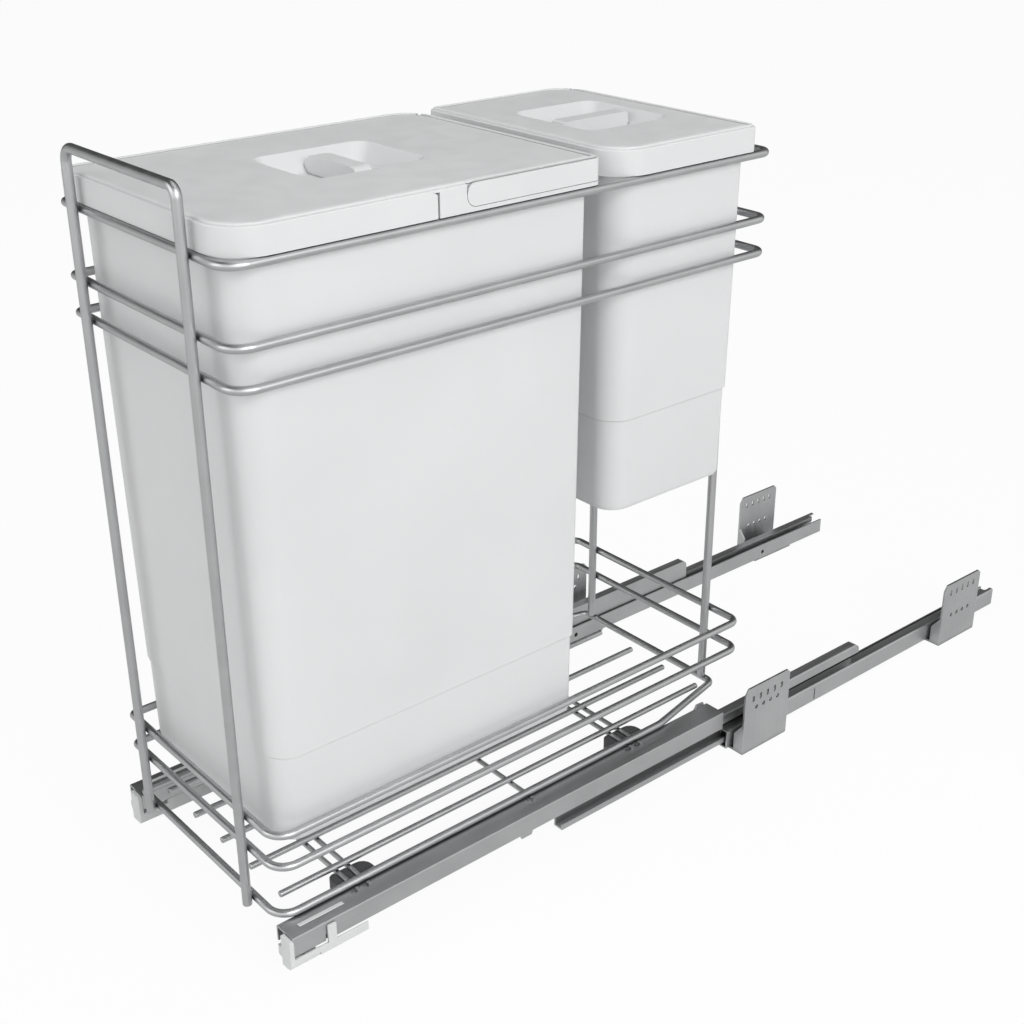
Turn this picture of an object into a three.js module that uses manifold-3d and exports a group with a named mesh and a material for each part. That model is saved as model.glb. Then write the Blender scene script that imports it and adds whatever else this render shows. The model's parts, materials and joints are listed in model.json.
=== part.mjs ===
import * as THREE from "three";
import { mergeVertices } from "three/addons/utils/BufferGeometryUtils.js";
import Module from "manifold-3d";

// A pull-out waste bin unit for a narrow base cabinet, drawn pulled out.
// Lengths are in millimetres. X runs across the cabinet, Y into it, Z up.
// Inside this file Y = 0 is the front wire of the basket and Z = 0 the middle of its base wire.

// ---- the cabinet and the slides ----
const cabinetWidth = 264; // clear width between the cabinet sides
const sideGap = 13; // from a cabinet side to the outer face of its slide
const travel = 420; // how far the basket runs in
const clearance = 0.3; // between pieces that touch or are welded

const sheet = 1.5; // steel of the rail and of the drawer member
const railLength = 398;
const railHeight = 18;
const railWidth = 15;
const railLipWidth = 9;
const railLipDrop = 5;
const railInnerHeight = 15;

const middleLength = 373;
const middleSheet = 1.4;
const middleHeight = 29;
const middleWidth = 9.3;
const middleHeadDrop = 9;
const middleFootRise = 5;

const capLength = 436;
const capWidth = 20.5;
const capOuterHeight = 17;
const capInnerHeight = 13.2;
const capLip = 6;

const rollerTrack = 4.4; // height of the space that the rollers run in
const rollerDiameter = 3.8;
const rollerLength = 6.5;
const rollersPerCage = 3;
const cageLength = 130;
const cageThickness = 2.2;

const plateThickness = 2;
const catchWall = 1.7;
const catchNose = 19; // how far the catch reaches back in front of the rail
const catchLength = 59;
const railSlotBack = 117; // from the front of the rail to a narrow slot in its side
const railSlotWidth = 1.2;
const plateLength = 57;
const plateRise = 19; // of a bracket above the base wire
const frontPlateBack = 6; // from the front of the rail
const rearPlateBack = 290.5;
const screwSlots = 5;
const screwHoles = 4;
const screwPitch = 9.1;
const screwSlotSize = 3;
const screwHoleSize = 4.2;

// ---- the wire basket ----
const ringWire = 6;
const frameWire = 7;
const floorWire = 5;
const crossWire = 4;
const basketGap = 29; // from a cabinet side to the middle of the nearest basket wire
const basketDepth = 462;
const frontBend = { right: 15, left: 3.5 }; // of the rings and the base wire
const rearBend = 9;
const topRing = 469; // heights of the rings, from the top one down
const secondRingDrop = 49.7; // below the ring above it
const thirdRingDrop = 26;
const fourthRing = 69.6;
const fifthRingDrop = 26.6;
const baseTaperLength = 82; // the base wire draws in over this length at the back
const baseTaperIn = 18;
const baseTaperBend = 30;
const baseRearBend = 7;
const baseSetBack = 4;
const frameInset = 31.8; // from the side wires to an upright, and to a back leg
const frameHeight = 510.3;
const frameCorner = { left: 10, right: 7 };
const frameOffset = -4.7; // the front frame stands this far off the middle

const floorWireInset = 18.4; // from the base wire to the outermost wire that runs front to back
const floorWireCount = 5;
const floorWireFront = 11.5;
const floorWireRear = 438.7;
const crossWireDepths = { front_a: 60, front_b: 70, middle: 227, rear_a: 334, rear_b: 344 };
const crossWireHeight = -1;
const clipWidth = 14.5;
const clipHeight = 11;
const clipLength = 34;

// ---- the bins ----
const binWall = 2;
const rimOverhang = 2; // of the rim past the middle of the side wires
const rimHeight = 20;
const rimSheet = 2.4;
const bead = 5.7; // width of the rim around the lid
const bodyInset = { side: 6, end: 7.5 }; // from the rim to the body of the bin
const largeRim = { front: 0, rear: 288.7 };
const rimGap = 14.3; // between the two rims
const smallRimDepth = 142;
const smallRim = { front: largeRim.rear + rimGap, rear: largeRim.rear + rimGap + smallRimDepth };
const largeFloor = 52;
const smallFloor = 212;
const binDraft = 0.0075; // taper of the side walls, mm per mm
const largeStep = 71; // height of the nesting step above the floor
const smallStep = 76;
const stepIn = 1.2;
const wideCorner = 28; // of a rim, at its front right and its back left
const sharpCorner = 5; // at its front left and its back right
const ledge = { width: 1.6, drop: 0.9 }; // outside the raised bead of a rim
const rimSlit = { y: 151, width: 1.6, below: 1.5, hook: 3, hookHeight: 1.5 }; // it ends below the ledge
const lidDrop = 1; // from the top of the bead to the lid
const lidThickness = 2.4;
const gripDepth = 14; // of the dish in each lid
const gripDraft = 9; // how far its walls draw in on the way down
const gripCorner = 12;
const ridgeWidth = 13; // of the ridge to pinch in the middle of the dish
const ridgeDrop = 0.4; // of its top below the lid
const largeGripBack = 137.2; // from the back of the rim to the middle of the dish
const smallGripBack = 66.5;
const largeGrip = {
  x: -4, y: largeRim.rear - largeGripBack, across: 79, deep: 93, ridgeAlong: "x", ridgeLength: 68, ridgeCorner: 13,
};
const smallGrip = {
  x: -3, y: smallRim.rear - smallGripBack, across: 90, deep: 82, ridgeAlong: "y", ridgeLength: 66, ridgeCorner: 2,
};
const lidGap = 0.4; // around the lid
const hingePin = 2.4;
const hingePinLength = 3;
const handlePivotBack = 107.5; // from the handle pin to the back of the rim
const handleSheet = 2.2;
const handleHeight = 15;
const handleDrop = 2; // from the top of the bead to the handle
const handlePin = 6;
const handlePinLength = 1.7;

// ---- heights that follow from these ----
const basketWidth = cabinetWidth - 2 * basketGap;
const frameSpacing = basketWidth - 2 * frameInset;
const rimWidth = basketWidth + 2 * rimOverhang;
const ringRadius = ringWire / 2;
const capTop = -ringRadius - clearance;
const middleTop = capTop - sheet - rollerTrack;
const middleBottom = middleTop - middleHeight;
const railFloor = middleBottom - rollerTrack;
const railBottom = railFloor - sheet;
const slideOuter = cabinetWidth / 2 - sideGap;
const capInner = slideOuter - capWidth;
const middleOuter = slideOuter - 2 * sheet;
const middleInner = middleOuter - middleWidth;
const railInner = slideOuter - railWidth;
const secondRing = topRing - secondRingDrop;
const thirdRing = secondRing - thirdRingDrop;
const fifthRing = fourthRing - fifthRingDrop;
const baseHalf = capInner + 0.5;
const floorWireSpacing = 2 * (baseHalf - floorWireInset) / (floorWireCount - 1);
const lugReach = baseHalf + ringRadius + 3.5; // lugs in the drawer member beside the base wire
const capFront = -ringRadius;
const railFront = travel + catchNose + 1;
const frontPlateAt = railFront + frontPlateBack;
const rearPlateAt = railFront + rearPlateBack;
const middleFront = (capFront + capLength + railFront - middleLength) / 2;
const floorWireHeight = crossWireHeight + (crossWire + floorWire) / 2 + clearance;
const rimBottom = topRing + ringRadius + clearance;
const rimTop = rimBottom + rimHeight;

// ---- materials ----
function material(color, roughness, metalness) {
  return new THREE.MeshStandardMaterial({ color, roughness, metalness });
}
const wireGrey = () => material(0x9b9ea1, 0.38, 0.85);
const railSteel = () => material(0xb4b6b8, 0.35, 0.9);
const bracketSteel = () => material(0xa9abad, 0.42, 0.85);
const rollerSteel = () => material(0xc9cbcd, 0.2, 0.95);
const cagePlastic = () => material(0xd8d4c8, 0.6, 0);
const catchPlastic = () => material(0xdfe0e0, 0.5, 0);
const clipGrey = () => material(0x7c7e80, 0.55, 0);
const binPlastic = () => material(0xe2e3e4, 0.5, 0);
const lidPlastic = () => material(0xcdced0, 0.5, 0);

const unit = new THREE.Group();
unit.name = "pull_out_bin_unit";

function add(name, geometry, surface) {
  const mesh = new THREE.Mesh(geometry, surface);
  mesh.name = name;
  unit.add(mesh);
  return mesh;
}

// ---- solids ----
const wasm = await Module();
wasm.setup();

function solid(geometry) {
  const bare = new THREE.BufferGeometry();
  bare.setAttribute("position", geometry.getAttribute("position"));
  if (geometry.index) bare.setIndex(geometry.index);
  const merged = mergeVertices(bare, 1e-4);
  return new wasm.Manifold(new wasm.Mesh({
    numProp: 3,
    vertProperties: new Float32Array(merged.attributes.position.array),
    triVerts: new Uint32Array(merged.index.array),
  }));
}

function shapeOf(body) {
  const mesh = body.getMesh();
  const geometry = new THREE.BufferGeometry();
  geometry.setAttribute("position", new THREE.BufferAttribute(new Float32Array(mesh.vertProperties), 3));
  geometry.setIndex(new THREE.BufferAttribute(new Uint32Array(mesh.triVerts), 1));
  geometry.computeVertexNormals();
  return geometry;
}

function joined(...geometries) {
  return shapeOf(geometries.map(solid).reduce((sum, next) => sum.add(next)));
}

function cut(geometry, cutters) {
  return shapeOf(cutters.reduce((left, cutter) => left.subtract(solid(cutter)), solid(geometry)));
}

// ---- outlines and extrusions ----
function outline(points) {
  return new THREE.Shape(points.map(([x, y]) => new THREE.Vector2(x, y)));
}

// A plate or bar whose section lies in X and Z, run along Y.
function alongY(points, from, to) {
  const bar = new THREE.ExtrudeGeometry(outline(points), { depth: to - from, bevelEnabled: false });
  return bar.rotateX(Math.PI / 2).translate(0, to, 0);
}

// A plate whose outline lies in Y and Z, with its thickness along X.
function alongX(points, from, to) {
  const plate = new THREE.ExtrudeGeometry(outline(points), { depth: to - from, bevelEnabled: false });
  return plate.rotateX(Math.PI / 2).rotateZ(Math.PI / 2).translate(from, 0, 0);
}

// A plate whose outline lies in X and Y, with its thickness along Z.
function alongZ(points, from, to) {
  const plate = new THREE.ExtrudeGeometry(outline(points), { depth: to - from, bevelEnabled: false });
  return plate.translate(0, 0, from);
}

// Points of a rectangle, anticlockwise from the low corner, with one radius or one for each corner.
function roundedRectangle(x0, y0, x1, y1, radii, steps = 4) {
  const corners = [[x0, y0, 1, 1], [x1, y0, -1, 1], [x1, y1, -1, -1], [x0, y1, 1, -1]];
  const points = [];
  corners.forEach(([x, y, inX, inY], corner) => {
    const radius = Array.isArray(radii) ? radii[corner] : radii;
    const count = Array.isArray(steps) ? steps[corner] : steps;
    const start = Math.PI + corner * Math.PI / 2;
    for (let i = 0; i <= count; i++) {
      const angle = start + i * Math.PI / 2 / count;
      points.push([x + inX * radius + radius * Math.cos(angle), y + inY * radius + radius * Math.sin(angle)]);
    }
  });
  return points;
}

function circle(x, y, radius, sides = 16) {
  return Array.from({ length: sides }, (_, i) => {
    const angle = (i + 0.5) * 2 * Math.PI / sides;
    return [x + radius * Math.cos(angle), y + radius * Math.sin(angle)];
  });
}

// Mirrors a section drawn for the right-hand slide to the side it is on.
const onSide = (side, points) => points.map(([x, z]) => [side * x, z]);

// ---- bent wires ----
class WireLine extends THREE.Curve {
  constructor(stations) {
    super();
    this.stations = stations;
  }

  getPoint(t, target = new THREE.Vector3()) {
    const last = this.stations.length - 1;
    const at = t * last;
    const index = Math.min(Math.floor(at), last - 1);
    return target.copy(this.stations[index]).lerp(this.stations[index + 1], at - index);
  }

  getPointAt(u, target) {
    return this.getPoint(u, target);
  }

  getTangentAt(u, target = new THREE.Vector3()) {
    const last = this.stations.length - 1;
    const index = Math.round(u * last);
    const here = this.stations[index];
    const arriving = here.clone().sub(this.stations[Math.max(index - 1, 0)]).normalize();
    const leaving = this.stations[Math.min(index + 1, last)].clone().sub(here).normalize();
    return target.copy(arriving).add(leaving).normalize();
  }
}

// The middle line of a wire through the given corners, each bent to a radius.
function bentLine(corners, radii, steps = 4) {
  const points = corners.map((corner) => new THREE.Vector3(...corner));
  const stations = [points[0]];
  for (let i = 1; i < points.length - 1; i++) {
    const here = points[i];
    const radius = Array.isArray(radii) ? radii[i - 1] : radii;
    const back = points[i - 1].clone().sub(here).normalize();
    const on = points[i + 1].clone().sub(here).normalize();
    const half = back.angleTo(on) / 2;
    const inward = back.clone().add(on).normalize();
    const centre = here.clone().addScaledVector(inward, radius / Math.sin(half));
    const start = here.clone().addScaledVector(back, radius / Math.tan(half)).sub(centre);
    const end = here.clone().addScaledVector(on, radius / Math.tan(half)).sub(centre);
    const axis = start.clone().cross(end).normalize();
    for (let step = 0; step <= steps; step++) {
      const turned = start.clone().applyAxisAngle(axis, start.angleTo(end) * step / steps);
      stations.push(centre.clone().add(turned));
    }
  }
  stations.push(points[points.length - 1]);
  return new WireLine(stations);
}

function wireAlong(line, diameter, sides = 8) {
  const across = diameter / Math.cos(Math.PI / sides);
  return new THREE.ExtrudeGeometry(outline(circle(0, 0, across / 2, sides)), {
    steps: line.stations.length - 1,
    extrudePath: line,
    bevelEnabled: false,
  });
}

const sides = { right: 1, left: -1 };

// A closed hoop made of a right and a left half that meet in the middle of the front and back wires.
function hoop(z, halfCorners, laterBends) {
  const halves = Object.entries(sides).map(([hand, side]) => {
    const corners = halfCorners.map(([x, y]) => [side * x, y, z]);
    const first = [0, halfCorners[0][1], z];
    const last = [0, halfCorners[halfCorners.length - 1][1], z];
    return wireAlong(bentLine([first, ...corners, last], [frontBend[hand], ...laterBends]), ringWire);
  });
  return joined(...halves);
}

// ---- the two slides ----
function cabinetRail(side) {
  const section = [
    [railInner, railBottom], [slideOuter - 1, railBottom], [slideOuter, railBottom + 1],
    [slideOuter, railBottom + railHeight - 1], [slideOuter - 1, railBottom + railHeight],
    [slideOuter - railLipWidth, railBottom + railHeight],
    [slideOuter - railLipWidth, railBottom + railHeight - railLipDrop],
    [slideOuter - railLipWidth + sheet, railBottom + railHeight - railLipDrop],
    [slideOuter - railLipWidth + sheet, railBottom + railHeight - sheet],
    [slideOuter - sheet, railBottom + railHeight - sheet],
    [slideOuter - sheet, railFloor], [railInner + sheet, railFloor],
    [railInner + sheet, railBottom + railInnerHeight], [railInner, railBottom + railInnerHeight],
  ];
  const rear = railFront + railLength;
  const bar = alongY(onSide(side, section), railFront, rear);
  const lipEnd = roundedRectangle(slideOuter - railLipWidth - 1, rear - 9, slideOuter - 4, rear + 9, 2);
  const slotFront = railFront + railSlotBack;
  const slot = roundedRectangle(slotFront, railBottom + 2.5, slotFront + railSlotWidth, railBottom + 14, 0.5, 2);
  const cutters = [
    alongZ(onSide(side, lipEnd), railBottom + railHeight - railLipDrop - 1, railBottom + railHeight + 1),
    alongX(circle(rearPlateAt + 10, railBottom + 6.5, 2.3), side * railInner - 2.5, side * railInner + 2.5),
    alongX(circle(frontPlateAt + 20, railBottom + 6.5, 2.3), side * railInner - 2.5, side * railInner + 2.5),
    alongX(slot, side * slideOuter - 3, side * slideOuter + 3),
  ];
  return cut(bar, cutters);
}

function middleMember(side) {
  const thin = middleSheet;
  const section = [
    [middleInner, middleBottom], [middleOuter, middleBottom],
    [middleOuter, middleBottom + middleFootRise], [middleOuter - thin, middleBottom + middleFootRise],
    [middleOuter - thin, middleBottom + thin], [middleInner + thin, middleBottom + thin],
    [middleInner + thin, middleTop - thin], [middleOuter - thin, middleTop - thin],
    [middleOuter - thin, middleTop - middleHeadDrop], [middleOuter, middleTop - middleHeadDrop],
    [middleOuter, middleTop - 1], [middleOuter - 1, middleTop], [middleInner, middleTop],
  ];
  const bar = alongY(onSide(side, section), middleFront, middleFront + middleLength);
  const round = (y, along) => {
    const corner = 6;
    const arc = circle(0, 0, corner, 24).filter(([a, b]) => a * along > 0 && b > 0)
      .map(([a, b]) => [y - along * corner + a, middleTop - corner + b]);
    const outside = [
      [y + along, middleTop - corner], [y + along, middleTop + 1], [y - along * corner, middleTop + 1],
    ];
    const loop = along > 0 ? [...outside, ...arc.reverse()] : [...outside, ...arc];
    return alongX(loop, side * middleInner - (side > 0 ? 1 : middleWidth + 1),
      side * middleInner + (side > 0 ? middleWidth + 1 : 1));
  };
  return cut(bar, [round(middleFront, -1), round(middleFront + middleLength, 1)]);
}

function drawerMember(side) {
  const low = capTop - capOuterHeight;
  const section = [
    [capInner, capTop - capInnerHeight], [capInner + sheet, capTop - capInnerHeight],
    [capInner + sheet, capTop - sheet], [slideOuter - sheet, capTop - sheet],
    [slideOuter - sheet, low + sheet * 0.8], [slideOuter - capLip, low + sheet * 0.8],
    [slideOuter - capLip, low], [slideOuter - 0.8, low], [slideOuter, low + 0.8],
    [slideOuter, capTop - 1.2], [slideOuter - 0.4, capTop - 0.4], [slideOuter - 1.2, capTop],
    [capInner + 1.2, capTop], [capInner + 0.4, capTop - 0.4], [capInner, capTop - 1.2],
  ];
  const bar = alongY(onSide(side, section), capFront, capFront + capLength);
  const rear = capFront + capLength;
  const tabOutline = [
    [rear - 16, capTop - 1], [rear - 4, capTop - 1], [rear - 5, capTop + 3], [rear - 13, capTop + 3.6],
  ];
  const tab = alongX(tabOutline, side * (capInner + 0.8) - 0.8, side * (capInner + 0.8) + 0.8);
  const middle = capFront + capLength * 0.49;
  const lanceOutline = [
    [middle - 6.5, low + 2], [middle + 6.5, low + 2], [middle + 5, low - 2.6], [middle - 5, low - 2.6],
  ];
  const lance = alongX(lanceOutline, side * (slideOuter - 0.75) - 0.75, side * (slideOuter - 0.75) + 0.75);
  const longSlot = roundedRectangle(slideOuter - 10.6, 8, slideOuter - 7.4, 45, 1.5);
  const frontCut = roundedRectangle(slideOuter - sheet - 1, low - 1, slideOuter + 1, low + 6.5, 0.5, 1);
  const lugHalf = 1.9;
  const depths = Object.values(crossWireDepths);
  const holes = depths.map((y) => {
    const hole = roundedRectangle(lugReach - lugHalf, y - 4.5, lugReach + lugHalf, y, 1.2, 2);
    return alongZ(onSide(side, hole), capTop - 4, capTop + 4);
  });
  const lugs = depths.map((y) => alongX(
    [[y - 0.2, capTop - 1], [y + 3.4, capTop - 1], [y + 2.6, capTop + 1.6], [y + 0.2, capTop + 2]],
    side * lugReach - lugHalf, side * lugReach + lugHalf));
  const cutters = [
    alongZ(onSide(side, longSlot), capTop - 4, capTop + 4),
    alongY(onSide(side, frontCut), 24, 33),
    ...holes,
  ];
  return cut(joined(bar, tab, lance, ...lugs), cutters);
}

// A strip of plastic with a pocket for each roller.
function rollerCage(side, from, z) {
  const inner = side * (middleInner + 0.6);
  const outer = side * (middleOuter - 0.5);
  const plan = roundedRectangle(Math.min(inner, outer), from, Math.max(inner, outer), from + cageLength, 2, 2);
  const strip = alongZ(plan, z - cageThickness / 2, z + cageThickness / 2);
  return cut(strip, rollerDepths(from).map((y) => {
    const middle = side * (middleInner + middleOuter) / 2;
    const half = rollerLength / 2 + 0.4;
    const reach = rollerDiameter / 2 + 0.3;
    return alongZ(roundedRectangle(middle - half, y - reach, middle + half, y + reach, 0.4, 1), z - 4, z + 4);
  }));
}

function rollerDepths(from) {
  const pitch = cageLength / rollersPerCage;
  return Array.from({ length: rollersPerCage }, (_, i) => from + (i + 0.5) * pitch);
}

function roller() {
  const half = rollerLength / 2;
  const radius = rollerDiameter / 2;
  const profile = [
    [0, -half], [radius - 0.4, -half], [radius, -half + 0.4],
    [radius, half - 0.4], [radius - 0.4, half], [0, half],
  ];
  const turned = new THREE.LatheGeometry(profile.map(([r, h]) => new THREE.Vector2(r, h)), 10);
  return turned.rotateZ(-Math.PI / 2);
}

// The pressed side bracket: a screw plate on the cabinet side, a foot under the rail and a web in front.
function sideBracket(side, from, slotHeight, holeHeight) {
  const outer = cabinetWidth / 2;
  const foot = railBottom - clearance;
  const to = from + plateLength;
  const plateOutline = [
    [from, foot - plateThickness], [to - 1, foot - plateThickness], [to, foot - plateThickness + 1],
    [to, plateRise - 3], [to - 3, plateRise], [from + 4, plateRise], [from, plateRise - 6],
  ];
  const plateMiddle = side * (outer - plateThickness / 2);
  const plate = alongX(plateOutline, plateMiddle - plateThickness / 2, plateMiddle + plateThickness / 2);
  const footSection = [
    [railInner + 1, foot - plateThickness], [outer - 1, foot - plateThickness],
    [outer - 1, foot], [railInner + 1, foot],
  ];
  const under = alongY(onSide(side, footSection), from, to);
  const webInner = slideOuter + catchWall + 2 * clearance;
  const webOutline = [
    [webInner, foot - 1], [outer - 1, foot - 1], [outer - 1, capTop - 13],
    [webInner + 2, railBottom + railHeight], [webInner, railBottom + railHeight - 3],
  ];
  const web = alongY(onSide(side, webOutline), from, from + plateThickness);
  const middle = (from + to) / 2;
  const reach = [side * outer - 4, side * outer + 4];
  const slots = Array.from({ length: screwSlots }, (_, i) => {
    const y = middle + (i - (screwSlots - 1) / 2) * screwPitch;
    const half = screwSlotSize / 2;
    const slot = roundedRectangle(y - half, slotHeight - 3.2, y + half, slotHeight + 3.2, half - 0.05, 2);
    return alongX(slot, ...reach);
  });
  const holes = Array.from({ length: screwHoles }, (_, i) => {
    const y = middle + (i - (screwHoles - 1) / 2) * screwPitch;
    return alongX(circle(y, holeHeight, screwHoleSize / 2, 10), ...reach);
  });
  return cut(joined(plate, under, web), [...slots, ...holes]);
}

// The moulded catch under the front of the drawer member. Its nose stops in front of the rail
// and its two walls run past the rail when the basket is in.
function frontCatch(side) {
  const top = capTop - capOuterHeight - clearance;
  const bottom = top - 9;
  const outer = slideOuter + clearance + catchWall;
  const rearWall = railInner - clearance - 0.1;
  const front = capFront - 3.5;
  const nose = catchNose;
  const block = (x0, x1, z0, z1, radius, from, to) =>
    alongY(onSide(side, roundedRectangle(x0, z0, x1, z1, radius, 2)), from, to);
  const solids = [
    block(capInner, outer, bottom, capTop - 1, [2, 5, 2, 2], front, capFront - clearance),
    block(capInner, outer, bottom, top, [2, 5, 0.2, 0.2], front + 1, nose),
    block(capInner, rearWall, bottom, capTop - capInnerHeight - clearance, [2, 1, 0.2, 0.2], nose - 1, catchLength),
    block(slideOuter + clearance + 0.1, outer, bottom + 2, top, 0.4, nose - 1, catchLength),
    alongX(roundedRectangle(25, bottom + 3, 32, capTop - 2.5, 1, 2),
      side > 0 ? outer - catchWall : -outer, side > 0 ? outer : catchWall - outer),
  ];
  const pocket = block(rearWall, slideOuter + clearance + 0.1, bottom + 2.5, top + 1, 0.5, capFront + 6, nose + 1);
  return cut(joined(...solids), [pocket]);
}

for (const [hand, side] of Object.entries(sides)) {
  add(`cabinet_rail_${hand}`, cabinetRail(side), railSteel());
  add(`middle_member_${hand}`, middleMember(side), railSteel());
  add(`drawer_member_${hand}`, drawerMember(side), railSteel());
  add(`front_bracket_${hand}`, sideBracket(side, frontPlateAt, 7, -2.4), bracketSteel());
  add(`rear_bracket_${hand}`, sideBracket(side, rearPlateAt, 9, -16.5), bracketSteel());
  add(`front_catch_${hand}`, frontCatch(side), catchPlastic());

  const tracks = {
    upper: { from: middleFront + 26, z: middleTop + rollerTrack / 2 },
    lower: { from: railFront + 27, z: railFloor + rollerTrack / 2 },
  };
  for (const [level, track] of Object.entries(tracks)) {
    add(`${level}_cage_${hand}`, rollerCage(side, track.from, track.z), cagePlastic());
    rollerDepths(track.from).forEach((y, i) => {
      const piece = add(`${level}_roller_${hand}_${i + 1}`, roller(), rollerSteel());
      piece.position.set(side * (middleInner + middleOuter) / 2, y, track.z);
    });
  }
}

// ---- the basket ----
const halfWidth = basketWidth / 2;
const plainCorners = [[halfWidth, 0], [halfWidth, basketDepth]];
const ringHeights = { upper: [topRing, secondRing, thirdRing], lower: [fourthRing, fifthRing] };
for (const [level, heights] of Object.entries(ringHeights)) {
  heights.forEach((z, i) => {
    add(`${level}_ring_${i + 1}`, hoop(z, plainCorners, [rearBend]), wireGrey());
  });
}

const baseRear = basketDepth - baseSetBack;
const baseCorners = [
  [baseHalf, 0], [baseHalf, baseRear - baseTaperLength], [baseHalf - baseTaperIn, baseRear],
];
add("base_ring", hoop(0, baseCorners, [baseTaperBend, baseRearBend]), wireGrey());

const uprightY = -(ringWire + frameWire) / 2 - clearance;
const half = frameSpacing / 2;
const foot = -ringRadius - 0.5;
const uprightX = { left: frameOffset - half, right: frameOffset + half };
add("front_frame", wireAlong(bentLine([
  [uprightX.left, uprightY, foot], [uprightX.left, uprightY, frameHeight],
  [uprightX.right, uprightY, frameHeight], [uprightX.right, uprightY, foot],
], [frameCorner.left, frameCorner.right]), frameWire, 10), wireGrey());

const legY = basketDepth - (ringWire + frameWire) / 2 - clearance;
for (const [hand, side] of Object.entries(sides)) {
  const legFoot = ringRadius + clearance;
  const leg = bentLine([[side * half, legY, legFoot], [side * half, legY, topRing]], 0);
  add(`back_leg_${hand}`, wireAlong(leg, frameWire, 10), wireGrey());
}

for (let i = 0; i < floorWireCount; i++) {
  const x = (i - (floorWireCount - 1) / 2) * floorWireSpacing;
  const line = bentLine([[x, floorWireFront, floorWireHeight], [x, floorWireRear, floorWireHeight]], 0);
  add(`floor_wire_${i + 1}`, wireAlong(line, floorWire), wireGrey());
}

const crossReach = baseHalf - ringRadius - clearance;
for (const [place, y] of Object.entries(crossWireDepths)) {
  const line = bentLine([[-crossReach, y, crossWireHeight], [crossReach, y, crossWireHeight]], 0);
  add(`cross_wire_${place}`, wireAlong(line, crossWire), wireGrey());
}

// A rounded clip under each pair of cross wires, beside the drawer member.
function wireClip(side, depths) {
  const outer = crossReach - clearance;
  const middle = (depths[0] + depths[1]) / 2 + 3;
  const plan = roundedRectangle(outer - clipWidth, middle - clipLength / 2, outer, middle + clipLength / 2, [5, 2, 2, 9]);
  const block = alongZ(onSide(side, plan), crossWireHeight - clipHeight, crossWireHeight);
  const grooves = depths.map((y) => {
    const groove = circle(y, crossWireHeight, crossWire / 2 + clearance, 12);
    return alongX(groove, side * (outer - clipWidth / 2) - clipWidth, side * (outer - clipWidth / 2) + clipWidth);
  });
  return cut(block, grooves);
}

for (const [hand, side] of Object.entries(sides)) {
  const { front_a, front_b, rear_a, rear_b } = crossWireDepths;
  add(`front_wire_clip_${hand}`, wireClip(side, [front_a, front_b]), clipGrey());
  add(`rear_wire_clip_${hand}`, wireClip(side, [rear_a, rear_b]), clipGrey());
}

// ---- the bins ----
// Joins loops of points, each at its own height, into one skin closed at both ends.
function loft(loops) {
  const count = loops[0].points.length;
  const position = [];
  const index = [];
  for (const { points, z } of loops) {
    for (const [x, y] of points) position.push(x, y, z);
  }
  for (let level = 0; level < loops.length - 1; level++) {
    for (let i = 0; i < count; i++) {
      const a = level * count + i;
      const b = level * count + (i + 1) % count;
      index.push(a, b, b + count, a, b + count, a + count);
    }
  }
  const last = (loops.length - 1) * count;
  for (let i = 1; i < count - 1; i++) {
    index.push(0, i + 1, i);
    index.push(last, last + i, last + i + 1);
  }
  const geometry = new THREE.BufferGeometry();
  geometry.setAttribute("position", new THREE.Float32BufferAttribute(position, 3));
  geometry.setIndex(index);
  return geometry.toNonIndexed();
}

// A loop drawn in from the rim by `inset`. Its corners are listed anticlockwise from the front left.
const rimCorners = [sharpCorner, wideCorner, sharpCorner, wideCorner];
const rimCornerSteps = [3, 6, 3, 6];

function binLoop(rim, inset, z, endInset = inset, tightest = 1) {
  const halfRim = rimWidth / 2 - inset;
  const radii = rimCorners.map((radius) => Math.max(radius - inset, tightest));
  return {
    z,
    points: roundedRectangle(-halfRim, rim.front + endInset, halfRim, rim.rear - endInset, radii, rimCornerSteps),
  };
}

const lidTop = rimTop - lidDrop;
const lidSeat = lidTop - lidThickness - clearance;
const hingeHeight = lidTop - lidThickness / 2;
const hingeDepth = (rim) => rim.rear - bead - lidGap - lidThickness / 2;
const handleDepth = largeRim.rear - handlePivotBack;
const handleMiddle = rimTop - handleDrop - handleHeight / 2;

function bin(rim, floor, step) {
  const body = (z, extra = 0) => {
    const draft = (rimBottom - z) * binDraft + (z < floor + step ? stepIn : 0) + extra;
    return binLoop(rim, bodyInset.side + draft, z, bodyInset.end + draft, 4);
  };
  const hollowTop = rimTop - binWall;
  return loft([
    body(floor, 5), body(floor + 1.5, 1.6), body(floor + 5),
    body(floor + step - 1), body(floor + step + 0.4), body(lidSeat - binWall),
    binLoop(rim, bead - binWall, lidSeat - binWall), binLoop(rim, bead - binWall, hollowTop),
    binLoop(rim, rimSheet, hollowTop), binLoop(rim, rimSheet, rimBottom),
    binLoop(rim, 0, rimBottom), binLoop(rim, 0, rimTop - ledge.drop - 0.5),
    binLoop(rim, 0.4, rimTop - ledge.drop), binLoop(rim, ledge.width, rimTop - ledge.drop + 0.1),
    binLoop(rim, ledge.width + 0.6, rimTop - 0.5), binLoop(rim, ledge.width + 2.4, rimTop),
    binLoop(rim, bead - 0.6, rimTop - 0.1), binLoop(rim, bead, rimTop - 1), binLoop(rim, bead, lidSeat),
    { ...body(lidSeat, binWall), z: lidSeat },
    body(floor + step + 0.4, binWall), body(floor + step - 1, binWall),
    body(floor + 5, binWall), body(floor + binWall + 0.8, binWall + 1.4), body(floor + binWall, binWall + 5),
  ]);
}

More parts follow.
